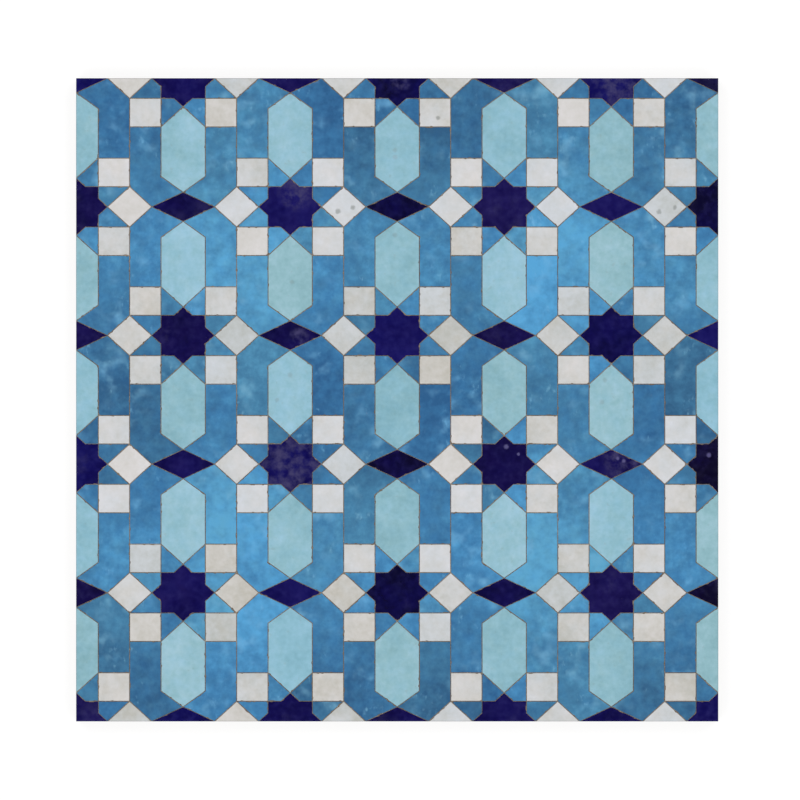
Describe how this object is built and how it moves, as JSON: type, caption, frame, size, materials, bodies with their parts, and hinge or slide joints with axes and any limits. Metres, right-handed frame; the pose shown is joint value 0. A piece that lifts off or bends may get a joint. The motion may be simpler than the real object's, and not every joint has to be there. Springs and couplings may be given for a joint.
{
  "type": "zellige mosaic tile panel",
  "caption": "Square panel of hand-cut glazed terracotta tiles in a star, diamond and long-hexagon pattern, set in a mortar bed for facing a wall or pool.",
  "frame": {"origin": "centre of the panel's back, on its lowest face", "axes": "+X across the pattern's columns, +Y up the pattern, +Z out of the glazed faces"},
  "size_m": [0.6104, 0.6116, 0.02],
  "materials": {
    "cobalt_glaze": "gloss",
    "white_glaze": "gloss",
    "turquoise_glaze": "gloss",
    "blue_glaze": "gloss",
    "mortar": "matte"
  },
  "bodies": {
    "root": {"cobalt_stars": "cobalt_glaze", "cobalt_diamonds": "cobalt_glaze", "white_squares": "white_glaze", "white_turned_squares": "white_glaze", "turquoise_hexagons": "turquoise_glaze", "blue_kites": "blue_glaze", "blue_boots": "blue_glaze", "mortar_bed": "mortar"}
  },
  "joints": []
}
